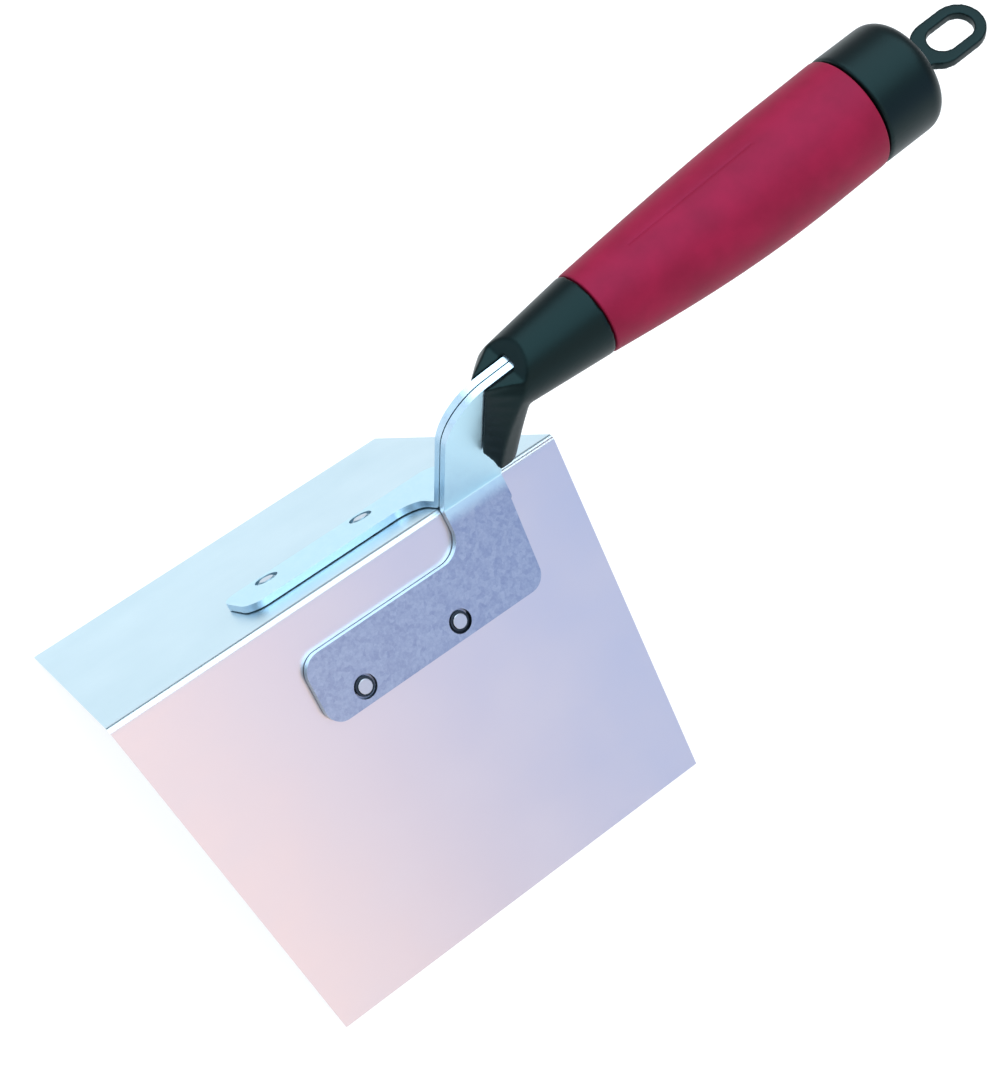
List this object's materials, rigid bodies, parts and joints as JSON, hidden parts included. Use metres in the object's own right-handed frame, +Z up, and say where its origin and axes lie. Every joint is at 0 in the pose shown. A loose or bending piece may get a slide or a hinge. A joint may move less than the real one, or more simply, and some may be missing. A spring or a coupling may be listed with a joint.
{
  "type": "corner trowel",
  "caption": "Corner trowel: a folded steel blade, a riveted bracket on the ridge side of the fold, and a soft-grip handle with a hang loop, for smoothing joint compound over a corner.",
  "frame": {"origin": "middle of the overall box, in the plane of the blade's four outer corners, which the tool stands on", "axes": "+X along the fold from the blade's front end toward the handle's hang loop, +Y across the fold, +Z up from the working side to the handle side"},
  "size_m": [0.2564, 0.1278, 0.1344],
  "materials": {
    "blade_steel": "satin rolled stainless sheet",
    "bracket_steel": "mottled galvanised sheet with bright sheared edges",
    "rivet_steel": "plated steel, flush heads",
    "core_plastic": "black moulded plastic, slight sheen",
    "grip_rubber": "crimson soft-touch rubber, matte",
    "cap_plastic": "black moulded plastic, slight sheen"
  },
  "bodies": {
    "root": {"blade": "blade_steel", "bracket_left": "bracket_steel", "bracket_right": "bracket_steel", "rivet_left_front": "rivet_steel", "rivet_left_rear": "rivet_steel", "rivet_right_front": "rivet_steel", "rivet_right_rear": "rivet_steel", "tang_pin_front": "rivet_steel", "tang_pin_rear": "rivet_steel", "handle_core": "core_plastic", "grip_sleeve": "grip_rubber", "end_cap": "cap_plastic"}
  },
  "joints": []
}
